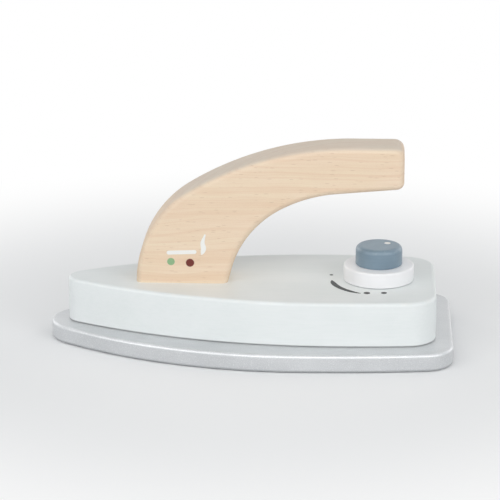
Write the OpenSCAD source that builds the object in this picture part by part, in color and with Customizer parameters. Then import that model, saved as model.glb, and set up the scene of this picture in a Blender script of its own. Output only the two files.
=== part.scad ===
// Wooden toy iron: a silvered sole plate, a painted body block, an open arched
// handle and a heat dial that turns on a screw.
// Millimetres, +Z up. The nose points to -X and the origin is at the middle of
// the sole plate's underside.

/* [Sole plate] */
// Length of the sole plate, nose tip to heel
sole_l = 161; // [155:1:175]
// Width of the sole plate at its widest place
sole_w = 85.4; // [76:0.2:96]
// Thickness of the sole plate
sole_t = 7.2; // [5:0.1:10]
// Radius of the nose, seen from above
sole_nose_r = 15; // [10:0.5:20]
// Radius of the two heel corners, seen from above
sole_heel_r = 12; // [6:0.5:18]
// Radius of the long side curves behind the widest place
sole_side_r = 400; // [250:10:800]
// Distance from the heel forward to the widest place
sole_widest = 62.5; // [50:0.5:75]
// Rounding of the upper edge
sole_top_round = 1.4; // [0.6:0.1:2.2]
// Rounding of the lower edge
sole_low_round = 1.3; // [0.4:0.1:1.6]

/* [Body block] */
// Width of the block at its widest place
body_w = 64.8; // [56:0.2:72]
// Height of the block
body_h = 18; // [15:0.5:24]
// Width of the sole plate's rim in front of the block's nose
nose_rim = 7; // [4:0.5:12]
// Width of the sole plate's rim behind the block's heel
heel_rim = 6.8; // [4:0.2:10]
// Radius of the block's nose, seen from above
body_nose_r = 7.5; // [5:0.5:12]
// Radius of the block's two heel corners, seen from above
body_heel_r = 12; // [6:0.5:16]
// Radius of the block's long side curves behind its widest place
body_side_r = 350; // [220:10:700]
// Distance from the block's heel forward to its widest place
body_widest = 43.7; // [36:0.5:55]
// Rounding of the block's upper edge
body_top_round = 1.5; // [0.6:0.1:3]
// Rounding of the block's lower edge
body_low_round = 0.7; // [0.3:0.1:1.5]

/* [Handle] */
// Thickness of the board that the handle is cut from
handle_t = 18; // [15:0.5:22]
// Height of the handle above the body block
handle_h = 56; // [50:0.5:64]
// Distance from the sole plate's nose tip back to the handle's foot
foot_setback = 35; // [32:0.5:40]
// Length of the foot where it stands on the body block
foot_l = 36.5; // [32:0.5:41]
// Length of the handle, from the front of the foot to the free end
handle_reach = 106; // [98:0.5:115]
// Height of the free end
grip_h = 16.8; // [14:0.1:20]
// Height of the foot's straight front, below the curves
foot_rise = 2.5; // [1:0.5:5]
// Radius of the steep curve at the front of the handle
brow_r = 44; // [40:1:50]
// Radius of the flatter curve along the handle's back
back_r = 124; // [110:1:140]
// Radius of the tight curve behind the foot
throat_r = 40; // [34:1:46]
// Radius of the wider curve under the arm
under_r = 56; // [50:1:64]
// Radius of the free end's upper corner
end_top_r = 4; // [3.2:0.2:6]
// Radius of the free end's lower corner
end_low_r = 3; // [2.8:0.2:5]
// Rounding of all the long edges
handle_round = 2.5; // [1:0.1:2.7]

/* [Dial] */
// Distance from the sole plate's heel forward to the dial's centre
dial_setback = 29.5; // [25:0.1:34]
// Diameter of the white disc
disc_d = 28.2; // [24:0.2:32]
// Thickness of the white disc
disc_t = 6.2; // [4:0.1:8]
// Rounding of the disc's upper edge
disc_top_round = 0.8; // [0.3:0.1:1.5]
// Rounding of the disc's lower edge
disc_low_round = 0.4; // [0.2:0.1:0.9]
// Diameter of the knob
knob_d = 18.6; // [15:0.2:22]
// Height of the knob
knob_h = 7.8; // [6.5:0.1:12]
// Rounding of the knob's upper edge
knob_top_round = 2; // [1:0.1:4]
// Rounding of the knob's lower edge
knob_low_round = 0.5; // [0.2:0.1:1]
// Diameter of the screw that the dial turns on
dial_screw_d = 4; // [3:0.1:5]
// Diameter of that screw's pan head
dial_head_d = 7.8; // [6.5:0.1:9.5]
// Height of that screw's pan head
dial_head_h = 2.6; // [2:0.1:3.4]
// Length of that screw inside the knob
dial_screw_grip = 4.6; // [3.5:0.1:5.2]
// Diameter of the steel washer in the pocket
washer_d = 9.6; // [9:0.1:10.4]
// Thickness of the steel washer
washer_t = 1; // [0.6:0.1:1.6]
// Diameter of the spring washer under the screw's head
spring_d = 7.4; // [6.6:0.1:9]
// Thickness of the spring washer
spring_t = 1; // [0.7:0.1:1.4]
// Width of the split in the spring washer
spring_split = 0.9; // [0.4:0.1:1.5]
// Diameter of the fibre washer under the disc
fibre_d = 17; // [12:0.2:22]
// Thickness of the fibre washer
fibre_t = 0.4; // [0.3:0.1:0.8]
// Height by which the fibre washer stands out of its recess in the block
fibre_stand = 0.1; // [0.05:0.05:0.2]
// Gap all round the fibre washer in its recess
fibre_gap = 0.2; // [0.1:0.05:0.4]
// Diameter of the pocket in the block's underside
pocket_d = 12; // [11:0.2:14]
// Room between the dial screw's head and the sole plate
pocket_spare = 1; // [0.5:0.1:2]

/* [Screws and dowels] */
// Diameter of the two dowels in the handle's foot
dowel_d = 6; // [5:0.5:8]
// Length of a dowel in each of the two pieces that it joins
dowel_grip = 12; // [8:0.5:13]
// Distance from the foot's ends to the centres of the dowels
dowel_inset = 6.5; // [6:0.1:8]
// Chamfer round the ends of a dowel
dowel_chamfer = 0.8; // [0.3:0.1:1.2]
// Diameter of the handle screw
handle_screw_d = 4; // [3:0.1:5]
// Diameter of the handle screw's countersunk head
handle_head_d = 8; // [6.4:0.1:9]
// Length of the handle screw inside the handle
handle_screw_grip = 20; // [14:0.5:26]
// Depth of the well below the handle screw's head
head_well = 2.5; // [1:0.1:4]
// Diameter of the sole screws
sole_screw_d = 3.5; // [3:0.1:4]
// Diameter of the sole screws' countersunk heads
sole_head_d = 7; // [5.6:0.1:8]
// Length of a sole screw inside the body block
sole_screw_grip = 9; // [6:0.5:11]
// Depth of the sole screws' heads below the underside
sole_head_sink = 0.5; // [0.2:0.1:1]
// Distance from the block's nose to the front sole screw
front_screw_inset = 17.5; // [14:0.5:22]
// Distance from the block's heel to the two rear sole screws
rear_screw_inset = 14; // [11:0.5:18]
// Distance from the block's sides to the two rear sole screws
side_screw_inset = 12; // [9:0.5:15]
// Pitch of the screw threads
thread_pitch = 1.8; // [1.2:0.1:2.4]
// Depth of the screw threads
thread_depth = 0.5; // [0.3:0.1:0.7]
// Length of a screw's point
point_l = 2.4; // [1.5:0.1:3]
// Width of the cross slots in the screw heads
slot_w = 0.9; // [0.6:0.1:1.2]
// Depth of the cross slots in the screw heads
slot_depth = 1.3; // [0.8:0.1:1.6]

/* [Fits] */
// Gap all round the dial screw where it turns in the block and in the washers
turning_gap = 0.08; // [0.04:0.01:0.1]
// Play of the dial along its screw
dial_play = 0.1; // [0.05:0.05:0.3]
// Gap all round a screw where it passes through a piece loosely
screw_gap = 0.2; // [0.1:0.05:0.4]
// Spare depth past the end of a dowel or of a screw's point
hole_spare = 0.8; // [0.3:0.1:1.2]

/* [Hidden] */

// Most that a flat facet may stand off the curve that it follows
facet_gap = 0.03;
// Facets in the rounding of an edge
round_steps = 5;
// Overrun of every cut past the face that it opens
overrun = 1;
// Facets round a hole or a turned piece
$fn = 96;

// Heading of the foot's straight front, in degrees above the level
front_lean = 87;
// Headings of the inner curve: at the foot, between the radii, along the arm
throat_lean = 75;
throat_end = 29;
arm_rise = 5;
// Half the angle of a countersunk head
sink_angle = 45;
// Length of a cross slot and width of a screw's tip, as shares of the head's
// and the screw's diameters
slot_share = 0.55;
tip_share = 0.15;
// Room round a countersunk head, as a share of its diameter
well_share = 0.08;

nose_x = -sole_l / 2;
heel_x = sole_l / 2;
body_nose_x = nose_x + nose_rim;
body_heel_x = heel_x - heel_rim;
seat_z = sole_t + body_h;

foot_front_x = nose_x + foot_setback;
foot_rear_x = foot_front_x + foot_l;
foot_mid_x = (foot_front_x + foot_rear_x) / 2;
handle_end_x = foot_front_x + handle_reach;
handle_top_z = seat_z + handle_h;

dial_x = heel_x - dial_setback;
fibre_z = seat_z + fibre_stand - fibre_t;
disc_z = seat_z + fibre_stand + dial_play;
knob_z = disc_z + disc_t;
dial_head_z = sole_t + pocket_spare;
spring_z = dial_head_z + dial_head_h + dial_play;
washer_z = spring_z + spring_t;
pocket_top_z = washer_z + washer_t;
dial_screw_top_z = knob_z + dial_screw_grip;

handle_head_z = sole_t + head_well;
sole_screw_places = [
    [body_nose_x + front_screw_inset, 0],
    [body_heel_x - rear_screw_inset, body_w / 2 - side_screw_inset],
    [body_heel_x - rear_screw_inset, side_screw_inset - body_w / 2]
];

// Outlines made of arcs. Where two arcs meet at a tangent, the first one's last
// point is left out, because the second one starts there

function polar(r, angle) = r * [cos(angle), sin(angle)];

// Number of facets that keeps an arc within facet_gap of its curve
function facets(r, span) = max(2, ceil(abs(span) / (2 * acos(1 - facet_gap / r))));

function arc(centre, r, from, to, n) = [for (i = [0 : n]) centre + polar(r, from + (to - from) * i / n)];

function but_last(points) = [for (i = [0 : len(points) - 2]) points[i]];

// Pointed outline of an iron, drawn in by inset: half of it runs from the heel
// over the corner, the rear and front side curves and the nose to the tip
function iron_outline(tip_x, end_x, width, widest_x, nose_r, corner_r, side_r, inset) =
    let (
        half_w = width / 2,
        nose_centre = [tip_x + nose_r, 0],
        to_nose = widest_x - nose_centre.x,
        front_r = (pow(to_nose, 2) + pow(half_w, 2) - pow(nose_r, 2)) / (2 * (half_w - nose_r)),
        front_centre = [widest_x, half_w - front_r],
        rear_centre = [widest_x, half_w - side_r],
        corner_x = end_x - corner_r,
        corner_y = rear_centre.y + sqrt(pow(side_r - corner_r, 2) - pow(corner_x - widest_x, 2)),
        turn_1 = atan2(corner_y - rear_centre.y, corner_x - widest_x),
        turn_2 = atan2(-front_centre.y, -to_nose),
        half = concat(
            but_last(arc([corner_x, corner_y], corner_r - inset, 0, turn_1, facets(corner_r, turn_1))),
            but_last(arc(rear_centre, side_r - inset, turn_1, 90, facets(side_r, 90 - turn_1))),
            but_last(arc(front_centre, front_r - inset, 90, turn_2, facets(front_r, turn_2 - 90))),
            but_last(arc(nose_centre, nose_r - inset, turn_2, 180, facets(nose_r, 180 - turn_2)))
        )
    )
    concat(
        half,
        [[tip_x + inset, 0]],
        [for (i = [len(half) - 1 : -1 : 0]) [half[i].x, -half[i].y]]
    );

function sole_outline(inset) = iron_outline(
    nose_x, heel_x, sole_w, heel_x - sole_widest, sole_nose_r, sole_heel_r, sole_side_r, inset
);

function body_outline(inset) = iron_outline(
    body_nose_x, body_heel_x, body_w, body_heel_x - body_widest,
    body_nose_r, body_heel_r, body_side_r, inset
);

// Outline of the handle, drawn in by inset, standing on y = 0 with x along the
// iron. The inner and the outer curve have as many points as each other
function handle_outline(inset) =
    let (
        // The outer curve's two radii meet at the heading that brings it from
        // the top of the foot's straight front to the handle's full height
        brow_end = acos((foot_rise - handle_h + back_r - brow_r * cos(front_lean)) / (back_r - brow_r)),
        brow_foot = [foot_front_x + foot_rise / tan(front_lean), foot_rise],
        brow_centre = brow_foot - polar(brow_r, 90 + front_lean),
        back_centre = brow_centre - polar(back_r - brow_r, 90 + brow_end),
        // The inner curve leaves the arm's straight underside where the line
        // up from the foot meets the tight radius
        arm_corner = [handle_end_x, handle_h - grip_h],
        reach = arm_corner - polar(under_r, 90 + arm_rise)
            + polar(under_r - throat_r, 90 + throat_end) + polar(throat_r, 90 + throat_lean),
        arm_flat = (reach.x - foot_rear_x - reach.y / tan(throat_lean))
            / (cos(arm_rise) - sin(arm_rise) / tan(throat_lean)),
        under_centre = arm_corner - polar(arm_flat, arm_rise) - polar(under_r, 90 + arm_rise),
        throat_centre = under_centre + polar(under_r - throat_r, 90 + throat_end),
        end_low_centre = arm_corner
            + [-end_low_r, end_low_r / cos(arm_rise) - end_low_r * tan(arm_rise)],
        end_top_centre = [handle_end_x - end_top_r, handle_h - end_top_r],
        low_n = max(facets(throat_r, throat_lean - throat_end), facets(brow_r, front_lean - brow_end)),
        mid_n = max(facets(under_r, throat_end - arm_rise), facets(back_r, brow_end)),
        end_n = max(facets(end_low_r, 90), facets(end_top_r, 90))
    )
    concat(
        [[foot_rear_x - inset / sin(throat_lean), 0]],
        but_last(arc(throat_centre, throat_r + inset, 90 + throat_lean, 90 + throat_end, low_n)),
        arc(under_centre, under_r + inset, 90 + throat_end, 90 + arm_rise, mid_n),
        arc(end_low_centre, end_low_r - inset, arm_rise - 90, 0, end_n),
        arc(end_top_centre, end_top_r - inset, 0, 90, end_n),
        but_last(arc(back_centre, back_r - inset, 90, 90 + brow_end, mid_n)),
        arc(brow_centre, brow_r - inset, 90 + brow_end, 90 + front_lean, low_n),
        [[foot_front_x + inset / sin(front_lean), 0]]
    );

// Slab with rounded edges: rings of outline points at rising levels, drawn in
// by less and then by more. Its flat faces are strips across the outline, from
// each point of the first half to its partner in the second
module rounded_slab(outline, height, low_round, top_round) {
    quarter = [for (i = [0 : round_steps]) 90 * i / round_steps];
    levels = concat(
        [for (a = quarter) [low_round * (1 - sin(a)), low_round * (1 - cos(a))]],
        [for (a = quarter) [top_round * (1 - cos(a)), height - top_round * (1 - sin(a))]]
    );
    rings = [for (level = levels) [for (p = outline(level[0])) [p.x, p.y, level[1]]]];
    n = len(rings[0]);
    last = (len(rings) - 1) * n;
    strips = [for (j = [0 : ceil(n / 2) - 2]) let (k = n - 1 - j)
        k - j > 2 ? [j, j + 1, k - 1, k] : [j, j + 1, k]];
    polyhedron(
        points = [for (ring = rings) each ring],
        faces = concat(
            strips,
            [for (strip = strips) [for (i = [len(strip) - 1 : -1 : 0]) last + strip[i]]],
            [for (i = [0 : n : last - n], j = [0 : n - 1]) let (k = (j + 1) % n)
                [i + j, i + n + j, i + n + k, i + k]]
        )
    );
}

// Turned disc with rounded edges
module turned(d, h, low_round, top_round) {
    rotate_extrude() {
        translate([0, low_round]) square([d / 2, h - low_round - top_round]);
        square([d / 2 - low_round, h]);
        square([d / 2 - top_round, h]);
        intersection() {
            translate([d / 2 - low_round, low_round]) circle(low_round);
            square([d / 2, h]);
        }
        translate([d / 2 - top_round, h - top_round]) circle(top_round);
    }
}

// Blind or through hole from z upwards
module hole(d, z, h) {
    translate([0, 0, z]) cylinder(d = d, h = h);
}

// Threaded part of a screw, its ridges as turned rings, from z = 0 to its tip
module thread(d, l) {
    core_r = d / 2 - thread_depth;
    turns = floor((l - point_l) / thread_pitch);
    rotate_extrude() polygon(concat(
        [[0, 0]],
        [for (i = [0 : turns - 1]) each [
            [core_r, i * thread_pitch],
            [d / 2, (i + 1 / 2) * thread_pitch]
        ]],
        [[core_r, turns * thread_pitch], [core_r, l - point_l], [d / 2 * tip_share, l], [0, l]]
    ));
}

// Cross slots cut up into a head whose flat face is at z = 0
module cross_slots(head_d) {
    slot_l = head_d * slot_share;
    for (angle = [0, 90]) rotate(angle)
        translate([-slot_l / 2, -slot_w / 2, -overrun]) cube([slot_l, slot_w, slot_depth + overrun]);
}

// Countersunk screw, head down at z = 0: a plain shank to shank_l, then thread
module countersunk_screw(d, head_d, shank_l, grip) {
    head_h = (head_d - d) / 2 / tan(sink_angle);
    difference() {
        union() {
            cylinder(d1 = head_d, d2 = d, h = head_h);
            cylinder(d = d, h = shank_l);
            translate([0, 0, shank_l]) thread(d, grip);
        }
        cross_slots(head_d);
    }
}

// Seat for a countersunk head whose flat face is at z, with a well below it
module countersink(d, head_d, z, well) {
    wide_d = head_d * (1 + well_share);
    seat_h = (wide_d - d) / 2 / tan(sink_angle);
    translate([0, 0, z - well]) cylinder(d = wide_d, h = well);
    translate([0, 0, z]) cylinder(d1 = wide_d, d2 = d, h = seat_h);
}

module dowel() {
    translate([0, 0, seat_z - dowel_grip]) {
        cylinder(d1 = dowel_d - 2 * dowel_chamfer, d2 = dowel_d, h = dowel_chamfer);
        translate([0, 0, dowel_chamfer]) cylinder(d = dowel_d, h = 2 * (dowel_grip - dowel_chamfer));
        translate([0, 0, 2 * dowel_grip - dowel_chamfer])
            cylinder(d1 = dowel_d, d2 = dowel_d - 2 * dowel_chamfer, h = dowel_chamfer);
    }
}

module at_front_dowel() translate([foot_front_x + dowel_inset, 0, 0]) children();
module at_rear_dowel() translate([foot_rear_x - dowel_inset, 0, 0]) children();
module at_handle_screw() translate([foot_mid_x, 0, 0]) children();
module at_dial() translate([dial_x, 0, 0]) children();
module at_sole_screws() for (place = sole_screw_places) translate([place.x, place.y, 0]) children();

module washer(outer_d, bore_d, t) {
    difference() {
        cylinder(d = outer_d, h = t);
        translate([0, 0, -overrun]) cylinder(d = bore_d, h = t + 2 * overrun);
    }
}

module sole_plate() color("silver") difference() {
    rounded_slab(function (inset) sole_outline(inset), sole_t, sole_low_round, sole_top_round);
    at_sole_screws() {
        hole(sole_screw_d + 2 * screw_gap, -overrun, sole_t + 2 * overrun);
        countersink(sole_screw_d, sole_head_d, sole_head_sink, sole_head_sink + overrun);
    }
}

module body_block() color("mintcream") difference() {
    translate([0, 0, sole_t])
        rounded_slab(function (inset) body_outline(inset), body_h, body_low_round, body_top_round);
    at_sole_screws() hole(sole_screw_d, sole_t - overrun, sole_screw_grip + hole_spare + overrun);
    at_front_dowel() hole(dowel_d, seat_z - dowel_grip - hole_spare, dowel_grip + hole_spare + overrun);
    at_rear_dowel() hole(dowel_d, seat_z - dowel_grip - hole_spare, dowel_grip + hole_spare + overrun);
    at_handle_screw() {
        hole(handle_screw_d + 2 * screw_gap, sole_t, body_h + overrun);
        countersink(handle_screw_d, handle_head_d, handle_head_z, head_well + overrun);
    }
    at_dial() {
        hole(dial_screw_d + 2 * turning_gap, sole_t, body_h + overrun);
        hole(pocket_d, sole_t - overrun, pocket_top_z - sole_t + overrun);
        hole(fibre_d + 2 * fibre_gap, fibre_z, seat_z - fibre_z + overrun);
    }
}

module handle() color("burlywood") difference() {
    translate([0, handle_t / 2, seat_z]) rotate([90, 0, 0])
        rounded_slab(function (inset) handle_outline(inset), handle_t, handle_round, handle_round);
    at_front_dowel() hole(dowel_d, seat_z - overrun, dowel_grip + hole_spare + overrun);
    at_rear_dowel() hole(dowel_d, seat_z - overrun, dowel_grip + hole_spare + overrun);
    at_handle_screw() hole(handle_screw_d, seat_z - overrun, handle_screw_grip + hole_spare + overrun);
}

module front_dowel() color("tan") at_front_dowel() dowel();

module rear_dowel() color("tan") at_rear_dowel() dowel();

module handle_screw() color("goldenrod") at_handle_screw() translate([0, 0, handle_head_z])
    countersunk_screw(handle_screw_d, handle_head_d, seat_z - handle_head_z, handle_screw_grip);

module sole_screws() color("lightgray") at_sole_screws() translate([0, 0, sole_head_sink])
    countersunk_screw(sole_screw_d, sole_head_d, sole_t - sole_head_sink, sole_screw_grip);

module fibre_washer() color("peru") at_dial() translate([0, 0, fibre_z])
    washer(fibre_d, dial_screw_d + 2 * turning_gap, fibre_t);

module steel_washer() color("lightsteelblue") at_dial() translate([0, 0, washer_z])
    washer(washer_d, dial_screw_d + 2 * turning_gap, washer_t);

module spring_washer() color("dimgray") at_dial() translate([0, 0, spring_z]) difference() {
    washer(spring_d, dial_screw_d + 2 * turning_gap, spring_t);
    translate([0, -spring_split / 2, -overrun]) cube([spring_d, spring_split, spring_t + 2 * overrun]);
}

module dial_disc() color("white") at_dial() translate([0, 0, disc_z]) difference() {
    turned(disc_d, disc_t, disc_low_round, disc_top_round);
    hole(dial_screw_d, -overrun, disc_t + 2 * overrun);
}

module dial_knob() color("slategray") at_dial() translate([0, 0, knob_z]) difference() {
    turned(knob_d, knob_h, knob_low_round, knob_top_round);
    hole(dial_screw_d, -overrun, dial_screw_grip + hole_spare + overrun);
}

// Pan head screw, head down in the pocket, threaded only inside the knob
module dial_screw() color("gainsboro") at_dial() translate([0, 0, dial_head_z]) difference() {
    union() {
        turned(dial_head_d, dial_head_h, dial_head_h / 3, dial_head_h / 12);
        cylinder(d = dial_screw_d, h = knob_z - dial_head_z);
        translate([0, 0, knob_z - dial_head_z]) thread(dial_screw_d, dial_screw_grip);
    }
    cross_slots(dial_head_d);
}

sole_plate();
body_block();
handle();
front_dowel();
rear_dowel();
handle_screw();
sole_screws();
fibre_washer();
steel_washer();
spring_washer();
dial_disc();
dial_knob();
dial_screw();
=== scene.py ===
# Wooden toy iron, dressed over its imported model. Shapes are worked out in
# millimetres and stored in metres: nose towards -X, +Z up, and the origin in
# the middle of the sole plate's underside. The sections follow its assembly.

import math

import bmesh
import bpy
from mathutils import Matrix, Vector


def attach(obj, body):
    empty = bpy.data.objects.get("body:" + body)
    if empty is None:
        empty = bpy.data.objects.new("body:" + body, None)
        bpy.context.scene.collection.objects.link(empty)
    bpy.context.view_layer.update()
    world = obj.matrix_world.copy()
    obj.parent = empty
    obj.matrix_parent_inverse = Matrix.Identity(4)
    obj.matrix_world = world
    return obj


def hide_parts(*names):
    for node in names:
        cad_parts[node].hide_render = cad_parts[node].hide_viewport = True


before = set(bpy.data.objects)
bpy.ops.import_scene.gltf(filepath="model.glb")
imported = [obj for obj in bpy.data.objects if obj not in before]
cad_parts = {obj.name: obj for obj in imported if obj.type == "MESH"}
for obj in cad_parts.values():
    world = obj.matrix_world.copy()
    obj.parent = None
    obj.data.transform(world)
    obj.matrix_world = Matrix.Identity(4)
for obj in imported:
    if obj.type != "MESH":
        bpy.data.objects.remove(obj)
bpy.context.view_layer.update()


# Sole plate
# A pointed board sprayed silver all over, its edges rounded over on a router
# table. It stands out round the body block and is held by three screws.

SOLE_NOSE_X, SOLE_HEEL_X = -80.5, 80.5
SOLE_W, SOLE_WIDEST_X = 85.4, 18.0
SOLE_NOSE_R, SOLE_HEEL_R, SOLE_SIDE_R = 15.0, 12.0, 400.0
SOLE_T = 7.2
SOLE_TOP_ROUND, SOLE_LOW_ROUND = 1.4, 1.3
SOLE_SCREW_PLACES = ((-56.0, 0.0), (59.7, 20.4), (59.7, -20.4))
SOLE_SCREW_HOLE_D, SOLE_HEAD_D, SOLE_HEAD_SINK = 3.9, 7.0, 0.5
HEAD_ROOM = 1.08       # width of a countersink over its head's
PAST = 1.0             # how far a drill runs past the face that it opens
SILVER = (0.69, 0.702, 0.714)
SILVER_SHADE = (0.585, 0.598, 0.612)
SILVER_FLAKE = (0.86, 0.87, 0.88)
SILVER_WORN = (0.82, 0.83, 0.83)
SILVER_FOOT_SHADE, FOOT_SHADE_H = (0.33, 0.34, 0.35), 1.5      # painted shade along the lower edge, where the sole meets the floor

FACET = 0.7            # length of a facet along an outline
ROUND_STEPS = 10       # facets in the rounding of an edge
TURNED_SIDES = 96      # facets round a drill or a turned piece
CAP_RIM = 0.5          # narrow ring that keeps a flat face flat up to its edge
SHARP = math.radians(28)      # an edge that turns more stays sharp
WELD = 0.001           # points nearer than this are one
PER_METRE = 1000       # millimetres


def polar(radius, degrees):
    """Step of a length at an angle, in the outline's plane."""
    angle = math.radians(degrees)
    return Vector((radius * math.cos(angle), radius * math.sin(angle)))


def steps_for(radius, start, end):
    """Facets in an arc of a radius from one angle to another, three at least."""
    return max(3, math.ceil(math.radians(abs(end - start)) * radius / FACET))


def arc(centre, radius, start, end, steps):
    """Points along an arc, both ends included."""
    return [centre + polar(radius, start + (end - start) * i / steps) for i in range(steps + 1)]


def iron_outline(nose_x, heel_x, width, widest_x, nose_r, heel_r, side_r, inset):
    """Pointed outline of an iron drawn in by inset, from its heel round the nose and back."""
    half_w = width / 2
    nose = Vector((nose_x + nose_r, 0))
    to_nose = widest_x - nose.x
    front_r = (to_nose**2 + half_w**2 - nose_r**2) / (2 * (half_w - nose_r))
    front = Vector((widest_x, half_w - front_r))
    rear = Vector((widest_x, half_w - side_r))
    heel = Vector((heel_x - heel_r, 0))
    heel.y = rear.y + math.sqrt((side_r - heel_r)**2 - (heel.x - widest_x)**2)
    heel_end = math.degrees(math.atan2(heel.y - rear.y, heel.x - widest_x))
    front_end = math.degrees(math.atan2(-front.y, -to_nose))
    half = []
    for centre, radius, start, end in (
        (heel, heel_r, 0, heel_end),
        (rear, side_r, heel_end, 90),
        (front, front_r, 90, front_end),
        (nose, nose_r, front_end, 180),
    ):
        half += arc(centre, radius - inset, start, end, steps_for(radius, start, end))[:-1]
    tip = Vector((nose_x + inset, 0))
    return half + [tip] + [Vector((p.x, -p.y)) for p in reversed(half)]


def sole_outline(inset):
    return iron_outline(
        SOLE_NOSE_X, SOLE_HEEL_X, SOLE_W, SOLE_WIDEST_X, SOLE_NOSE_R, SOLE_HEEL_R, SOLE_SIDE_R, inset
    )


def walls(mesh, loops):
    """Faces from each loop of corners to the next one."""
    for low, high in zip(loops, loops[1:]):
        for i, corner in enumerate(low):
            k = (i + 1) % len(low)
            mesh.faces.new((corner, low[k], high[k], high[i]))


def slab(outline, height, low_round, top_round, stand):
    """Board with rounded edges, lofted through rings of its outline. stand places its points."""
    quarter = [math.radians(90 * i / ROUND_STEPS) for i in range(ROUND_STEPS + 1)]
    levels = [(low_round + CAP_RIM, 0.0)]
    levels += [(low_round * (1 - math.sin(a)), low_round * (1 - math.cos(a))) for a in quarter]
    levels += [(top_round * (1 - math.cos(a)), height - top_round * (1 - math.sin(a))) for a in quarter]
    levels.append((top_round + CAP_RIM, height))
    mesh = bmesh.new()
    rings = [[mesh.verts.new(stand(p.x, p.y, z)) for p in outline(inset)] for inset, z in levels]
    walls(mesh, rings)
    for ring in (rings[0], rings[-1]):
        # Strips straight across the flat face, from one side of the outline to the other
        for j in range((len(ring) + 1) // 2 - 1):
            k = len(ring) - 1 - j
            strip = (j, j + 1, k - 1, k) if k - j > 2 else (j, j + 1, k)
            mesh.faces.new([ring[i] for i in strip])
    bmesh.ops.recalc_face_normals(mesh, faces=mesh.faces)
    return mesh


def turned(profile, x=0.0, y=0.0, sides=TURNED_SIDES):
    """Solid turned about an upright axis through x, y. profile is a closed loop of radius and height."""
    mesh = bmesh.new()
    rings = []
    for radius, z in profile:
        if radius > 0:
            points = [polar(radius, 360 * i / sides) for i in range(sides)]
            rings.append([mesh.verts.new((x + p.x, y + p.y, z)) for p in points])
        else:
            # One point on the axis, shared by all sides
            rings.append([mesh.verts.new((x, y, z))] * sides)
    for low, high in zip(rings, rings[1:] + rings[:1]):
        for i in range(sides):
            k = (i + 1) % sides
            around = []
            for corner in (low[i], low[k], high[k], high[i]):
                if corner not in around:
                    around.append(corner)
            if len(around) > 2:
                mesh.faces.new(around)
    bmesh.ops.recalc_face_normals(mesh, faces=mesh.faces)
    return mesh


def countersink(d, head_d, well_z, head_z, top_z, x, y):
    """Drill for a screw and its countersunk head, whose flat face is at head_z over a well."""
    wide = head_d * HEAD_ROOM / 2
    cone_z = head_z + wide - d / 2
    profile = [(0, well_z), (wide, well_z), (wide, head_z), (d / 2, cone_z), (d / 2, top_z), (0, top_z)]
    return turned(profile, x, y)


def blank(name, mesh):
    """Object of a mesh, with its points as they are."""
    data = bpy.data.meshes.new(name)
    mesh.to_mesh(data)
    mesh.free()
    thing = bpy.data.objects.new(name, data)
    bpy.context.scene.collection.objects.link(thing)
    return thing


def finished(thing):
    """Welds a blank's stray points, marks its sharp edges and turns its millimetres into metres."""
    mesh = bmesh.new()
    mesh.from_mesh(thing.data)
    bmesh.ops.remove_doubles(mesh, verts=mesh.verts, dist=WELD)
    for face in mesh.faces:
        face.smooth = True
    for edge in mesh.edges:
        edge.smooth = len(edge.link_faces) == 2 and edge.calc_face_angle() < SHARP
    mesh.to_mesh(thing.data)
    mesh.free()
    thing.data.transform(Matrix.Scale(1 / PER_METRE, 4))
    return thing


def drilled(name, mesh, drills):
    """Object of a mesh with each drill's solid cut out of it."""
    thing = blank(name, mesh)
    cutters = [blank(f"drill_{i}", drill) for i, drill in enumerate(drills)]
    for cutter in cutters:
        cut = thing.modifiers.new("cut", "BOOLEAN")
        cut.operation, cut.solver, cut.object = "DIFFERENCE", "EXACT", cutter
    graph = bpy.context.evaluated_depsgraph_get()
    cut_mesh = bpy.data.meshes.new_from_object(thing.evaluated_get(graph))
    thing.modifiers.clear()
    thing.data = cut_mesh
    for cutter in cutters:
        bpy.data.objects.remove(cutter)
    return finished(thing)


class Wire:
    """A shader socket in a sum: each operator adds its Math node."""

    def __init__(self, nodes, socket):
        self.nodes, self.socket = nodes, socket

    def maths(self, operation, *values):
        return self.nodes.node("ShaderNodeMath", {"operation": operation}, dict(enumerate(values)))

    def __add__(self, other):
        return self.maths("ADD", self, other)

    def __sub__(self, other):
        return self.maths("SUBTRACT", self, other)

    def __rsub__(self, other):
        return self.maths("SUBTRACT", other, self)

    def __mul__(self, other):
        return self.maths("MULTIPLY", self, other)

    def __truediv__(self, other):
        return self.maths("DIVIDE", self, other)

    def __rtruediv__(self, other):
        return self.maths("DIVIDE", other, self)

    def __pow__(self, other):
        return self.maths("POWER", self, other)

    def __rpow__(self, other):
        return self.maths("POWER", other, self)

    __radd__, __rmul__ = __add__, __mul__

    def size(self):
        return self.maths("ABSOLUTE", self)

    def most(self, other):
        return self.maths("MAXIMUM", self, other)

    def ease(self, low, high):
        """0 below low, 1 above high, and a smooth rise between; falls where low is above high."""
        ends = (0.0, 1.0) if low < high else (1.0, 0.0)
        return self.nodes.node(
            "ShaderNodeMapRange",
            {"interpolation_type": "SMOOTHSTEP"},
            {0: self, 1: min(low, high), 2: max(low, high), 3: ends[0], 4: ends[1]},
        )


class Nodes:
    """A node tree that is built one node at a time."""

    def __init__(self, tree):
        self.tree = tree

    def node(self, kind, settings=None, inputs=None, output=0):
        """Adds a node with its settings, then fills its sockets with values or links."""
        added = self.tree.nodes.new(kind)
        for setting, value in (settings or {}).items():
            setattr(added, setting, value)
        for socket, value in (inputs or {}).items():
            if isinstance(value, Wire):
                self.tree.links.new(value.socket, added.inputs[socket])
            else:
                added.inputs[socket].default_value = value
        return Wire(self, added.outputs[output])


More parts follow.
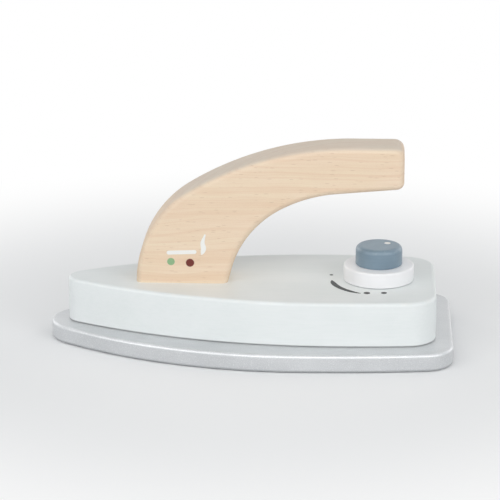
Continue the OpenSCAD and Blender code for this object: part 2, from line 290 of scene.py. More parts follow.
class Finish(Nodes):
    """One material, its places in millimetres on the piece. upright turns its grain from x to z."""

    def __init__(self, name, upright=False, **constants):
        self.upright = upright
        self.material = bpy.data.materials.new(name)
        self.material.use_nodes = True
        super().__init__(self.material.node_tree)
        self.shader = self.tree.nodes["Principled BSDF"]
        for word, value in constants.items():
            self.socket(word).default_value = value

    def socket(self, word):
        """The shader's socket of a name, such as Base Color for base_color."""
        return self.shader.inputs[word.replace("_", " ").title()]

    def turned_to_grain(self, output):
        """Place or normal on the piece, its x along the grain."""
        spot = self.node("ShaderNodeTexCoord", output=output)
        if not self.upright:
            return spot
        x, y, z = self.axes(spot)
        return self.node("ShaderNodeCombineXYZ", inputs={0: z, 1: y, 2: x})

    def place(self, along=1.0, across=None, up=None):
        """Place on the piece in millimetres, each axis divided by its stretch, or by the one before it."""
        across = across or along
        scale = [PER_METRE / stretch for stretch in (along, across, up or across)]
        return self.node(
            "ShaderNodeVectorMath", {"operation": "MULTIPLY"}, {0: self.turned_to_grain("Object"), 1: scale}
        )

    def axes(self, vector):
        """The three parts of a vector."""
        split = self.node("ShaderNodeSeparateXYZ", inputs={0: vector})
        return [Wire(self, out) for out in split.socket.node.outputs]

    def edges(self, axis=2):
        """1 on the rounded edges round the faces that look along an axis, 0 on flat faces."""
        facing = self.axes(self.turned_to_grain("Normal"))[axis].size()
        return facing.ease(0.1, 0.45) * facing.ease(0.995, 0.88)

    def noise(self, place, detail=2.0, rough=0.5, warp=0.0):
        """Smooth noise with one swell to each unit of place, about 0.5."""
        return self.node(
            "ShaderNodeTexNoise",
            inputs={"Vector": place, "Scale": 1.0, "Detail": detail, "Roughness": rough, "Distortion": warp},
        )

    def mix(self, share, first, second):
        """First colour where share is 0 and second where it is 1."""
        colours = [(*c, 1.0) if isinstance(c, tuple) else c for c in (first, second)]
        # The node's sockets for colours are its inputs 6 and 7 and its output 2
        return self.node("ShaderNodeMix", {"data_type": "RGBA"}, {0: share, 6: colours[0], 7: colours[1]}, 2)

    def bump(self, height, depth, below=None):
        """Normal of a relief that is depth millimetres deep, laid over the one below."""
        inputs = {"Height": height, "Distance": depth / PER_METRE, "Strength": 1.0}
        if below is not None:
            inputs["Normal"] = below
        return self.node("ShaderNodeBump", inputs=inputs)

    def give(self, **wires):
        """Links what changes over the surface into the shader."""
        for word, wire in wires.items():
            self.tree.links.new(wire.socket, self.socket(word))


def coat(thing, finish):
    """Gives a mesh one finish all over."""
    thing.data.materials.clear()
    thing.data.materials.append(finish.material)


def fit(thing, body, finish, slot, *stands_for):
    """Finishes a piece and lets it move with a body, in the place of the solids that it stands for."""
    coat(thing, finish)
    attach(thing, body)
    if stands_for:
        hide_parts(*stands_for)


def silver_paint():
    """Sprayed silver: fine metal flake in clear paint, a slight peel, scuffs below and painted shade along
    its lower edge.
    """
    paint = Finish("silver_paint", coat_weight=0.2, coat_roughness=0.2)
    flake = paint.noise(paint.place(0.3), detail=1.0)
    peel = paint.noise(paint.place(1.5))
    grain = paint.noise(paint.place(14, 0.7), detail=3.0)
    cloud = paint.noise(paint.place(22, 16))
    facing = paint.axes(paint.node("ShaderNodeNewGeometry", output="Normal"))[2]
    under = facing.ease(-0.7, -0.95)
    scratches = paint.noise(paint.place(30, 0.14, 3), warp=0.4)
    rubs = (scratches * 0.6 + cloud * 0.4).ease(0.5, 0.62) * under
    glint = flake.ease(0.56, 0.72)
    worn = paint.edges() * paint.noise(paint.place(4), detail=4.0, rough=0.65).ease(0.5, 0.66)
    # Painted shade: the lowest millimetre and a half of the sides turns dark, as in the floor's contact
    # shadow
    foot_shade = paint.axes(paint.place())[2].ease(FOOT_SHADE_H, FOOT_SHADE_H / 3) * (1 - under)
    shade = (cloud * 0.6 + flake * 0.5 + grain * 0.25).ease(0.4, 0.95)
    flecked = paint.mix(glint * 0.5, paint.mix(shade, SILVER_SHADE, SILVER), SILVER_FLAKE)
    rubbed = paint.mix(rubs * 0.6 + worn * 0.3, flecked, SILVER_WORN)
    paint.give(
        base_color=paint.mix(foot_shade * 0.55, rubbed, SILVER_FOOT_SHADE),
        metallic=0.43 + glint * 0.35,
        roughness=0.4 + cloud * 0.08 - glint * 0.08 - rubs * 0.06,
        normal=paint.bump(peel, 0.018, below=paint.bump(flake, 0.01, below=paint.bump(grain, 0.012))),
    )
    return paint


SILVER_PAINT = silver_paint()

sole_plate = drilled(
    "sole_plate_painted",
    slab(sole_outline, SOLE_T, SOLE_LOW_ROUND, SOLE_TOP_ROUND, lambda x, y, z: (x, y, z)),
    [
        countersink(SOLE_SCREW_HOLE_D, SOLE_HEAD_D, -PAST, SOLE_HEAD_SINK, SOLE_T + PAST, x, y)
        for x, y in SOLE_SCREW_PLACES
    ],
)
fit(sole_plate, "iron", SILVER_PAINT, "silver_paint_on_wood", "sole_plate")


# Body block
# A pointed block of wood, filled, sanded and sprayed mint-white. The handle and
# the dial stand on its flat top, and it is drilled for their screws and dowels.

NOSE_RIM, HEEL_RIM = 7.0, 6.8      # of the sole plate, before and behind the block
BODY_NOSE_X, BODY_HEEL_X = SOLE_NOSE_X + NOSE_RIM, SOLE_HEEL_X - HEEL_RIM
BODY_W, BODY_WIDEST_X = 64.8, 30.0
BODY_NOSE_R, BODY_HEEL_R, BODY_SIDE_R = 7.5, 12.0, 350.0
BODY_H = 18.0
BODY_TOP_ROUND, BODY_LOW_ROUND = 1.5, 0.7
SEAT_Z = SOLE_T + BODY_H
HOLE_SPARE = 0.8       # how much deeper a blind hole is than what it holds
SOLE_SCREW_D, SOLE_SCREW_GRIP = 3.5, 9.0
FOOT_FRONT_X, FOOT_L = -45.5, 36.5
DOWEL_D, DOWEL_GRIP, DOWEL_INSET = 6.0, 12.0, 6.5
DOWEL_X = (FOOT_FRONT_X + DOWEL_INSET, FOOT_FRONT_X + FOOT_L - DOWEL_INSET)
HANDLE_SCREW_X = FOOT_FRONT_X + FOOT_L / 2
HANDLE_SCREW_HOLE_D, HANDLE_HEAD_D, HANDLE_HEAD_Z = 4.4, 8.0, SOLE_T + 2.5
DIAL_X, DIAL_BORE_D = 51.0, 4.16
POCKET_D, POCKET_TOP_Z = 12.0, 12.9
RECESS_D, RECESS_Z = 17.4, 24.9
MINT_WHITE = (0.862, 0.89, 0.886)
MINT_SHADE = (0.82, 0.858, 0.85)
MINT_THIN = (0.88, 0.88, 0.85)
SEAM_SHADE, SEAM_SHADE_H = (0.42, 0.43, 0.43), 0.9      # painted shade along the block's foot, in the seam over the sole plate


def body_outline(inset):
    return iron_outline(
        BODY_NOSE_X, BODY_HEEL_X, BODY_W, BODY_WIDEST_X, BODY_NOSE_R, BODY_HEEL_R, BODY_SIDE_R, inset
    )


def bore(d, low, high, x=0.0, y=0.0):
    """Drill of one diameter."""
    return turned([(0, low), (d / 2, low), (d / 2, high), (0, high)], x, y)


def mint_paint():
    """Satin paint sprayed on wood: orange peel, a breath of grain, edges where it is thin and smooth, and
    painted shade along its foot.
    """
    paint = Finish("mint_white_paint", coat_weight=0.15, coat_roughness=0.25)
    peel = paint.noise(paint.place(0.9))
    grain = paint.noise(paint.place(18, 0.8), detail=4.0, rough=0.6, warp=0.3)
    cloud = paint.noise(paint.place(26, 20))
    dust = paint.noise(paint.place(0.35), detail=1.0).ease(0.72, 0.8)
    edges = paint.edges()
    thin = edges * paint.noise(paint.place(3.5), detail=4.0, rough=0.65).ease(0.48, 0.68)
    # Painted shade: the lowest 0.9 mm of the block darkens towards the seam with the sole plate
    seam_shade = paint.axes(paint.place())[2].ease(SOLE_T + SEAM_SHADE_H, SOLE_T + SEAM_SHADE_H / 4)
    sprayed = paint.mix((cloud * 0.7 + grain * 0.5).ease(0.4, 0.8), MINT_SHADE, MINT_WHITE)
    paint.give(
        base_color=paint.mix(seam_shade * 0.85, paint.mix(thin * 0.4, sprayed, MINT_THIN), SEAM_SHADE),
        roughness=0.34 + peel * 0.08 + cloud * 0.08 - edges * 0.07,
        normal=paint.bump(peel, 0.024, below=paint.bump(grain, 0.028, below=paint.bump(dust, 0.01))),
    )
    return paint


MINT_PAINT = mint_paint()

body_drills = [
    bore(SOLE_SCREW_D, SOLE_T - PAST, SOLE_T + SOLE_SCREW_GRIP + HOLE_SPARE, x, y)
    for x, y in SOLE_SCREW_PLACES
]
body_drills += [bore(DOWEL_D, SEAT_Z - DOWEL_GRIP - HOLE_SPARE, SEAT_Z + PAST, x) for x in DOWEL_X]
# The dial's hole: a pocket from below, the bore for its screw and a recess for its washer
dial_hole = [(0, SOLE_T - PAST)]
for d, low, high in (
    (POCKET_D, SOLE_T - PAST, POCKET_TOP_Z),
    (DIAL_BORE_D, POCKET_TOP_Z, RECESS_Z),
    (RECESS_D, RECESS_Z, SEAT_Z + PAST),
):
    dial_hole += [(d / 2, low), (d / 2, high)]
dial_hole.append((0, SEAT_Z + PAST))
body_drills += [
    countersink(
        HANDLE_SCREW_HOLE_D, HANDLE_HEAD_D, SOLE_T - PAST, HANDLE_HEAD_Z, SEAT_Z + PAST, HANDLE_SCREW_X, 0.0
    ),
    turned(dial_hole, DIAL_X),
]
body_block = drilled(
    "body_block_painted",
    slab(body_outline, BODY_H, BODY_LOW_ROUND, BODY_TOP_ROUND, lambda x, y, z: (x, y, SOLE_T + z)),
    body_drills,
)
fit(body_block, "iron", MINT_PAINT, "pale_paint_on_wood", "body_block")


# Handle
# One board of light beech, sawn to an open arch with its grain along the iron,
# rounded over by hand on every long edge and left under a thin clear varnish.

HANDLE_T, HANDLE_H, HANDLE_REACH, GRIP_H = 18.0, 56.0, 106.0, 16.8
HANDLE_ROUND = 2.5
FOOT_RISE, FRONT_LEAN = 2.5, 87.0                        # straight front under the curves
BROW_R, BACK_R = 44.0, 124.0                             # the two curves over the top
THROAT_R, UNDER_R = 40.0, 56.0                           # the two curves below
THROAT_LEAN, THROAT_END, ARM_RISE = 75.0, 29.0, 5.0      # slopes where those two start, meet and end
END_TOP_R, END_LOW_R = 4.0, 3.0
HANDLE_SCREW_D, HANDLE_SCREW_GRIP = 4.0, 20.0
BEECH_LIGHT = (0.885, 0.72, 0.555)
BEECH_WARM = (0.81, 0.602, 0.428)
BEECH_YELLOW = (0.872, 0.718, 0.535)
BEECH_FLECK = (0.50, 0.30, 0.18)
BEECH_END = (0.62, 0.42, 0.26)
BEECH_TOP_SHADE = (0.60, 0.62, 0.62)
TOP_SHADE_LOW, TOP_SHADE_HIGH = 50.0, 62.0      # heights between which painted shade begins to grey the upper faces
HEART_Y, HEART_Z = 42.0, -24.0              # middle of the tree's rings, beside the board
RING_RUN = 900.0                            # length over which the rings change


def sine(degrees):
    return math.sin(math.radians(degrees))


def cosine(degrees):
    return math.cos(math.radians(degrees))


def tangent(degrees):
    return math.tan(math.radians(degrees))


def straight(first, last, steps):
    """Points between two others, without them."""
    return [first.lerp(last, i / steps) for i in range(1, steps)]


def handle_outline(inset):
    """The arch drawn in by inset, out under the arm to its free end and back over the top.
    The ends of its foot stay on y = 0 until the rounding ends."""
    lift = max(0.0, inset - HANDLE_ROUND)
    rear_x, end_x = FOOT_FRONT_X + FOOT_L, FOOT_FRONT_X + HANDLE_REACH
    front_tan, throat_tan = tangent(FRONT_LEAN), tangent(THROAT_LEAN)

    # Over the top: a steep brow that runs into the flatter back
    drop = FOOT_RISE - HANDLE_H + BACK_R - BROW_R * cosine(FRONT_LEAN)
    brow_end = math.degrees(math.acos(drop / (BACK_R - BROW_R)))
    brow = Vector((FOOT_FRONT_X + FOOT_RISE / front_tan, FOOT_RISE)) - polar(BROW_R, 90 + FRONT_LEAN)
    back = brow - polar(BACK_R - BROW_R, 90 + brow_end)

    # Below: where the curves would end if the arm had no flat, then the flat that brings them to the foot
    arm = Vector((end_x, HANDLE_H - GRIP_H))
    reach = arm - polar(UNDER_R, 90 + ARM_RISE) + polar(UNDER_R - THROAT_R, 90 + THROAT_END)
    reach += polar(THROAT_R, 90 + THROAT_LEAN)
    flat = (reach.x - rear_x - reach.y / throat_tan) / (cosine(ARM_RISE) - sine(ARM_RISE) / throat_tan)
    under = arm - polar(flat, ARM_RISE) - polar(UNDER_R, 90 + ARM_RISE)
    throat = under + polar(UNDER_R - THROAT_R, 90 + THROAT_END)

    # As many facets above as below, so that the strips run straight across. The flats have longer ones
    low_n, mid_n = steps_for(BROW_R, FRONT_LEAN, brow_end), steps_for(BACK_R, 0, brow_end)
    flat_n = math.ceil(flat / FACET / 2)
    end_low = arm + Vector((-END_LOW_R, END_LOW_R / cosine(ARM_RISE) - END_LOW_R * tangent(ARM_RISE)))
    end_top = Vector((end_x - END_TOP_R, HANDLE_H - END_TOP_R))

    inner = [Vector((rear_x - inset / sine(THROAT_LEAN) + lift / throat_tan, lift))]
    inner += arc(throat, THROAT_R + inset, 90 + THROAT_LEAN, 90 + THROAT_END, low_n)[:-1]
    inner += arc(under, UNDER_R + inset, 90 + THROAT_END, 90 + ARM_RISE, mid_n)
    low_end = arc(end_low, END_LOW_R - inset, ARM_RISE - 90, 0, ROUND_STEPS)
    inner += straight(inner[-1], low_end[0], flat_n) + low_end

    outer = [Vector((FOOT_FRONT_X + inset / sine(FRONT_LEAN) + lift / front_tan, lift))]
    outer += arc(brow, BROW_R - inset, 90 + FRONT_LEAN, 90 + brow_end, low_n)[:-1]
    outer += arc(back, BACK_R - inset, 90 + brow_end, 90, mid_n)
    top_end = arc(end_top, END_TOP_R - inset, 90, 0, ROUND_STEPS)
    outer += straight(outer[-1], top_end[0], flat_n) + top_end
    return inner + outer[::-1]


def beech(name, **constants):
    """Beech: uneven rings, fine fibres, short brown rays, darker end grain, a painted highlight on the
    rounded edges and painted shade on the upper faces.
    """
    wood = Finish(name, **constants)
    x, y, z = wood.axes(wood.place())
    sway = wood.noise(wood.place(85, 34))
    warp = wood.noise(wood.place(26, 6))
    heart = ((y - HEART_Y) * (y - HEART_Y) + (z - HEART_Z) * (z - HEART_Z)) ** 0.5
    depth = heart + sway * 13 + warp * 1.6

    def rings(spacing, detail):
        across = wood.node("ShaderNodeCombineXYZ", inputs={0: depth / spacing, 1: x / RING_RUN, 2: 0.0})
        return wood.noise(across, detail, rough=0.6)

    band = rings(4.6, detail=4.0)
    late = (rings(3.1, detail=1.0) - 0.5).size().ease(0.045, 0.0)
    fibre = wood.noise(wood.place(10, 0.28), detail=3.0, rough=0.6)
    strand = wood.noise(wood.place(34, 1.3), detail=3.0)
    patch = wood.noise(wood.place(30, 12))
    ray_spot = wood.node(
        "ShaderNodeTexVoronoi",
        {"feature": "F1"},
        {"Vector": wood.place(6, 0.85), "Scale": 1.0, "Randomness": 1.0},
    )
    facing_x, _, facing_z = wood.axes(wood.turned_to_grain("Normal"))
    along = facing_x.size()
    ray = ray_spot.ease(0.2, 0.1) * along.ease(0.75, 0.35)
    pores = wood.noise(wood.place(0.5, 0.16), detail=1.0).ease(0.56, 0.7)
    plain = wood.mix(patch.ease(0.38, 0.66), BEECH_LIGHT, BEECH_YELLOW)
    darker = (band * 1.1 + late * 0.16 + strand * 0.6 + fibre * 0.35).ease(0.72, 1.42)
    # Painted highlight: the rounded edges round the broad faces are lightened
    edge_highlit = wood.mix(wood.edges(1) * 0.25, wood.mix(darker, plain, BEECH_WARM), BEECH_LIGHT)
    flecked = wood.mix(ray * 0.34 + pores * 0.1, edge_highlit, BEECH_FLECK)
    # Painted shade: faces that look up, high on the arm, are greyed
    top_shade = facing_z.ease(0.5, 0.9) * z.ease(TOP_SHADE_LOW, TOP_SHADE_HIGH)
    top_shaded = wood.mix(top_shade * (0.2 + patch * 0.2), flecked, BEECH_TOP_SHADE)
    wood.give(
        base_color=wood.mix(along.ease(0.45, 1.0) * (0.22 + pores * 0.25), top_shaded, BEECH_END),
        roughness=0.5 + fibre * 0.12 - ray * 0.1,
        normal=wood.bump(
            ray + pores * 0.6, -0.008, below=wood.bump(fibre, 0.014, below=wood.bump(band, 0.012))
        ),
    )
    return wood


BEECH = beech("light_beech", coat_weight=0.12, coat_roughness=0.32)

handle = drilled(
    "handle_varnished",
    slab(
        handle_outline, HANDLE_T, HANDLE_ROUND, HANDLE_ROUND,
        lambda x, y, z: (x, HANDLE_T / 2 - z, SEAT_Z + y),
    ),
    [bore(DOWEL_D, SEAT_Z - PAST, SEAT_Z + DOWEL_GRIP + HOLE_SPARE, x) for x in DOWEL_X]
    + [bore(HANDLE_SCREW_D, SEAT_Z - PAST, SEAT_Z + HANDLE_SCREW_GRIP + HOLE_SPARE, HANDLE_SCREW_X)],
)
fit(handle, "iron", BEECH, "bare_wood", "handle")


# Dowels, screws and washers
# Two plain beech dowels, zinc plated wood screws with a cross in their heads, a
# plated and a dark spring washer and a disc of pressed fibre hold the pieces.

ZINC, ZINC_DULL = (0.66, 0.65, 0.62), (0.54, 0.53, 0.5)
SPRING_BLACK, SPRING_WORN = (0.07, 0.07, 0.075), (0.24, 0.235, 0.23)
FIBRE_DARK, FIBRE_LIGHT = (0.2, 0.09, 0.05), (0.42, 0.23, 0.14)
THREAD_PITCH, THREAD_DEPTH = 1.8, 0.5
THREAD_LEAD = 0.4      # from the plain shank's end to the thread's core
RIDGE_HALF = 0.36      # from a ridge's crest to its foot, in turns
POINT_L, TIP_SHARE = 2.4, 0.15
FACE_BLUNT, RIM_BLUNT, PAN_BLUNT = 0.25, 0.1, 0.2      # taken off the corners of the heads
THREAD_STEPS = 9       # rings in one turn of a thread
SCREW_SIDES = 48
# The cross in a head: heights over its face, and reach and half width as shares of the head
CROSS_LEVELS = ((-0.5, 0.34, 0.085), (0.0, 0.31, 0.075), (1.5, 0.1, 0.045), (1.9, 0.03, 0.025))


def plated_steel():
    """Zinc plated steel with fine turning lines and dull spots."""
    steel = Finish("zinc_plated_steel", metallic=1.0)
    lines = steel.noise(steel.place(3, 3, 0.12))
    dull = steel.noise(steel.place(1.4), detail=3.0)
    steel.give(
        base_color=steel.mix(dull.ease(0.35, 0.7), ZINC_DULL, ZINC),
        roughness=0.22 + lines * 0.1 + dull * 0.12,
        normal=steel.bump(lines, 0.006),
    )
    return steel


def spring_steel():
    """Blackened spring steel, worn lighter in places."""
    steel = Finish("spring_steel", metallic=1.0)
    worn = steel.noise(steel.place(0.9), detail=3.0).ease(0.5, 0.7)
    steel.give(
        base_color=steel.mix(worn, SPRING_BLACK, SPRING_WORN),
        roughness=0.42 - worn * 0.14,
        normal=steel.bump(worn, -0.005),
    )
    return steel


def pressed_fibre():
    """Red-brown fibre with a felted face."""
    fibre = Finish("pressed_fibre")
    felt = fibre.noise(fibre.place(0.6, 0.18, 0.6), detail=4.0, rough=0.7)
    fibre.give(
        base_color=fibre.mix(felt, FIBRE_DARK, FIBRE_LIGHT),
        roughness=0.7 + felt * 0.2,
        normal=fibre.bump(felt, 0.02),
    )
    return fibre


PLATED_STEEL, SPRING_STEEL, FIBRE = plated_steel(), spring_steel(), pressed_fibre()
DOWEL_BEECH = beech("dowel_beech", upright=True)

for name, finish in (
    ("front_dowel", DOWEL_BEECH),
    ("rear_dowel", DOWEL_BEECH),
    ("steel_washer", PLATED_STEEL),
    ("spring_washer", SPRING_STEEL),
    ("fibre_washer", FIBRE),
):
    coat(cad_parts[name], finish)


def rounded_corner(radius, z, corner_r, start, end):
    """Arc of a profile about a corner's centre at that radius and height."""
    return [(radius + p.x, z + p.y) for p in arc(Vector((0, 0)), corner_r, start, end, ROUND_STEPS)]


def countersunk(d, head_d, z):
    """Profile of a countersunk head whose face looks down at z, its rim blunted."""
    rim = head_d / 2
    return [(rim - FACE_BLUNT, z), (rim - RIM_BLUNT, z + RIM_BLUNT), (d / 2, z + (head_d - d) / 2)]


def pan(d, head_d, head_h, z):
    """Profile of a pan head whose face looks down at z, its rim blunted."""
    rim, seat = head_d / 2, z + head_h
    low = rounded_corner(rim - head_h / 3, z + head_h / 3, head_h / 3, -90, 0)
    return low + [(rim, seat - PAN_BLUNT), (rim - PAN_BLUNT, seat), (d / 2, seat)]


def closed(mesh, loops):
    """Walls from loop to loop, with a face on the first and the last of them."""
    walls(mesh, loops)
    mesh.faces.new(loops[0][::-1])
    mesh.faces.new(loops[-1])


def wood_screw(mesh, head, d, thread_z, tip_z, x, y):
    """Adds a screw, head down: a plain shank up to thread_z, then a helical thread and a point."""
    steps = math.ceil((tip_z - thread_z) / THREAD_PITCH * THREAD_STEPS)
    rings = [(radius, z, 0.0) for radius, z in head] + [(d / 2, thread_z - THREAD_LEAD, 0.0)]
    for i in range(steps + 1):
        z = thread_z + (tip_z - thread_z) * i / steps
        slim = max(TIP_SHARE, min(1.0, (tip_z - z) / POINT_L))
        ridge = THREAD_DEPTH * slim * min(1.0, i / THREAD_STEPS)
        rings.append(((d / 2 - THREAD_DEPTH) * slim, z, ridge))
    loops = []
    for radius, z, ridge in rings:
        loop = []
        for i in range(SCREW_SIDES):
            turn = (z / THREAD_PITCH - i / SCREW_SIDES) % 1.0
            crest = max(0.0, 1 - abs(turn - 0.5) / RIDGE_HALF)
            place = polar(radius + ridge * crest, 360 * i / SCREW_SIDES)
            loop.append(mesh.verts.new((x + place.x, y + place.y, z)))
        loops.append(loop)
    closed(mesh, loops)


def cross_recess(head_d, z, x, y):
    """Drill for the cross in a head whose face looks down at z: four wings that taper inwards."""
    mesh = bmesh.new()
    loops = []
    for height, reach, width in CROSS_LEVELS:
        r, w = reach * head_d, width * head_d
        loop = []
        for quarter in range(4):
            for px, py in ((r, -w), (r, w), (w, w)):
                for _ in range(quarter):
                    px, py = -py, px
                loop.append(mesh.verts.new((x + px, y + py, z + height)))
        loops.append(loop)
    closed(mesh, loops)
    bmesh.ops.recalc_face_normals(mesh, faces=mesh.faces)
    return mesh


def screws(name, node, body, head, d, head_d, head_z, thread_z, tip_z, places):
    """Screws alike, standing at their places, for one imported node."""
    mesh = bmesh.new()
    for x, y in places:
        wood_screw(mesh, head, d, thread_z, tip_z, x, y)
    bmesh.ops.recalc_face_normals(mesh, faces=mesh.faces)
    thing = drilled(name, mesh, [cross_recess(head_d, head_z, x, y) for x, y in places])
    fit(thing, body, PLATED_STEEL, "plated_steel", node)


screws(
    "sole_screws_plated", "sole_screws", "iron",
    head=countersunk(SOLE_SCREW_D, SOLE_HEAD_D, SOLE_HEAD_SINK),
    d=SOLE_SCREW_D, head_d=SOLE_HEAD_D, head_z=SOLE_HEAD_SINK,
    thread_z=SOLE_T, tip_z=SOLE_T + SOLE_SCREW_GRIP, places=SOLE_SCREW_PLACES,
)
screws(
    "handle_screw_plated", "handle_screw", "iron",
    head=countersunk(HANDLE_SCREW_D, HANDLE_HEAD_D, HANDLE_HEAD_Z),
    d=HANDLE_SCREW_D, head_d=HANDLE_HEAD_D, head_z=HANDLE_HEAD_Z,
    thread_z=SEAT_Z, tip_z=SEAT_Z + HANDLE_SCREW_GRIP, places=((HANDLE_SCREW_X, 0.0),),
)


# Dial disc
# A turned wooden disc, sprayed white, that lies on a thin fibre washer and turns
# with the knob.

DISC_D, DISC_T, DISC_Z = 28.2, 6.2, 25.4
DISC_TOP_ROUND, DISC_LOW_ROUND = 0.8, 0.4
DIAL_SCREW_D, DIAL_SCREW_GRIP = 4.0, 4.6
DIAL_SIDES = 128       # facets round the disc and the knob
LATHE_LINES = 3.2      # swells of the tool marks in a millimetre
DISC_WHITE = (0.95, 0.945, 0.955)
DISC_SHADE = (0.92, 0.915, 0.925)
DISC_THIN = (0.93, 0.91, 0.88)


def lathed_paint(name, light, shade, worn_colour, rough):
    """Satin paint on turned wood: rings from the lathe under the peel of the spray, thin at the edges."""
    paint = Finish(name, coat_weight=0.2, coat_roughness=0.2)
    x, y, z = paint.axes(paint.place())
    radius = ((x - DIAL_X) * (x - DIAL_X) + y * y) ** 0.5
    rings = paint.node("ShaderNodeCombineXYZ", inputs={0: radius * LATHE_LINES, 1: z * LATHE_LINES, 2: 0.0})
    lathe = paint.noise(rings)
    peel = paint.noise(paint.place(0.8))
    cloud = paint.noise(paint.place(9))
    edges = paint.edges()
    thin = edges * paint.noise(paint.place(2.2), detail=4.0, rough=0.65).ease(0.5, 0.68)
    sprayed = paint.mix((cloud * 0.8 + lathe * 0.4).ease(0.35, 0.85), shade, light)
    paint.give(
        base_color=paint.mix(thin * 0.3, sprayed, worn_colour),
        roughness=rough + peel * 0.1 - edges * 0.06,
        normal=paint.bump(peel, 0.016, below=paint.bump(lathe, 0.014)),
    )
    return paint


WHITE_PAINT = lathed_paint("white_paint", DISC_WHITE, DISC_SHADE, DISC_THIN, rough=0.35)


def turned_piece(d, low, high, low_round, top_round, hole_d, hole_top=None):
    """Profile of a turned piece with rounded edges and a hole up its axis, blind where hole_top is given."""
    profile = [(hole_d / 2, low), (d / 2 - low_round - CAP_RIM, low)]
    profile += rounded_corner(d / 2 - low_round, low + low_round, low_round, -90, 0)
    profile += rounded_corner(d / 2 - top_round, high - top_round, top_round, 0, 90)
    if hole_top is None:
        return profile + [(hole_d / 2, high)]
    return profile + [(d / 2 - top_round - CAP_RIM, high), (0, high), (0, hole_top), (hole_d / 2, hole_top)]


disc_profile = turned_piece(DISC_D, DISC_Z, DISC_Z + DISC_T, DISC_LOW_ROUND, DISC_TOP_ROUND, DIAL_SCREW_D)
dial_disc = finished(blank("dial_disc_painted", turned(disc_profile, DIAL_X, sides=DIAL_SIDES)))
fit(dial_disc, "dial", WHITE_PAINT, "white_paint_on_wood", "dial_disc")


# Dial knob
# A short turned knob, sprayed blue-grey, with a white dot near its edge. The
# screw that holds the whole dial ends inside it.

KNOB_D, KNOB_H, KNOB_TOP_ROUND, KNOB_LOW_ROUND = 18.6, 7.8, 2.0, 0.5
KNOB_Z = DISC_Z + DISC_T
KNOB_TOP_Z = KNOB_Z + KNOB_H
KNOB_HOLE_Z = KNOB_Z + DIAL_SCREW_GRIP + HOLE_SPARE
DIAL_HEAD_D, DIAL_HEAD_H, DIAL_HEAD_Z = 7.8, 2.6, SOLE_T + 1.0
KNOB_BLUE = (0.215, 0.30, 0.37)
KNOB_SHADE = (0.18, 0.255, 0.32)
KNOB_THIN = (0.36, 0.43, 0.48)

BLUE_PAINT = lathed_paint("blue_grey_paint", KNOB_BLUE, KNOB_SHADE, KNOB_THIN, rough=0.37)

knob_profile = turned_piece(
    KNOB_D, KNOB_Z, KNOB_TOP_Z, KNOB_LOW_ROUND, KNOB_TOP_ROUND, DIAL_SCREW_D, KNOB_HOLE_Z
)
dial_knob = finished(blank("dial_knob_painted", turned(knob_profile, DIAL_X, sides=DIAL_SIDES)))
fit(dial_knob, "dial", BLUE_PAINT, "blue_grey_paint_on_wood", "dial_knob")

screws(
    "dial_screw_plated", "dial_screw", "dial",
    head=pan(DIAL_SCREW_D, DIAL_HEAD_D, DIAL_HEAD_H, DIAL_HEAD_Z),
    d=DIAL_SCREW_D, head_d=DIAL_HEAD_D, head_z=DIAL_HEAD_Z,
    thread_z=KNOB_Z, tip_z=KNOB_Z + DIAL_SCREW_GRIP, places=((DIAL_X, 0.0),),
)


# Printed marks
# Ink laid on by a pad after the paint has dried, a few hundredths thick: a green
# and a red dot and a wisp of steam on the handle, a heat scale, a pointer dot.

INK_T, INK_ROOT = 0.05, 0.03      # over the surface and into it
DOT_SIDES = 48
STROKE_STEPS = 12                 # between each two points of a stroke
CAP_STEPS = 8                     # round each end of it
GREEN_DOT, GREEN_DOT_R = (-31.5, 34.1), 1.5
RED_DOT, RED_DOT_R = (-23.9, 33.7), 1.65
RULE_ENDS, RULE_W = ((-32.4, 37.8), (-22.1, 38.2)), 1.6
WISP = ((-19.2, 37.3), (-18.5, 39.6), (-18.85, 42.1), (-17.9, 45.3))
WISP_THIN, WISP_SWELL, WISP_SKEW = 0.6, 1.4, 0.7      # width at its ends, what is added, and how low
SCALE_TURNS = (                   # angle about the dial, and width there
    (190, 0.5), (193, 1.2), (198, 1.9), (206, 2.2), (222, 2.1), (236, 1.8), (243, 1.2), (249, 0.5)
)
SCALE_R, SCALE_GROWTH = 18.9, 0.026                   # radius at its start, and what a degree adds
SCALE_DOTS = ((168, 19.4, 0.75), (256, 19.2, 1.3), (276.5, 18.3, 1.15))      # angle, reach and radius
POINTER_DOT, POINTER_R = (54.3, 2.2), 1.25


def ink(name, light, shade, rough):
    """Print ink with tiny pinholes and a matt skin."""
    colour = Finish(name)
    skin = colour.noise(colour.place(0.25))
    colour.give(
        base_color=colour.mix(skin.ease(0.3, 0.75), shade, light),
        roughness=rough + skin * 0.15,
        normal=colour.bump(skin, 0.006),
    )
    return colour


def printed(name, shapes, place, finish, body, slot):
    """Shapes in ink, each a ring of points. place puts a point on its surface, at a height over it."""
    mesh = bmesh.new()
    for ring in shapes:
        loops = [[mesh.verts.new(place(p.x, p.y, height)) for p in ring] for height in (-INK_ROOT, INK_T)]
        closed(mesh, loops)
    bmesh.ops.recalc_face_normals(mesh, faces=mesh.faces)
    fit(finished(blank(name, mesh)), body, finish, slot)


def dot(centre, radius):
    return [Vector(centre) + polar(radius, 360 * i / DOT_SIDES) for i in range(DOT_SIDES)]


def smooth_line(points):
    """Smooth curve through a few points."""
    ends = [points[0] * 2 - points[1]] + points + [points[-1] * 2 - points[-2]]
    curve = []
    for before, first, second, after in zip(ends, ends[1:], ends[2:], ends[3:]):
        slope = second - before
        bend = before * 2 - first * 5 + second * 4 - after
        twist = first * 3 - before - second * 3 + after
        for i in range(STROKE_STEPS):
            t = i / STROKE_STEPS
            curve.append((first * 2 + slope * t + bend * t**2 + twist * t**3) / 2)
    return curve + [points[-1]]


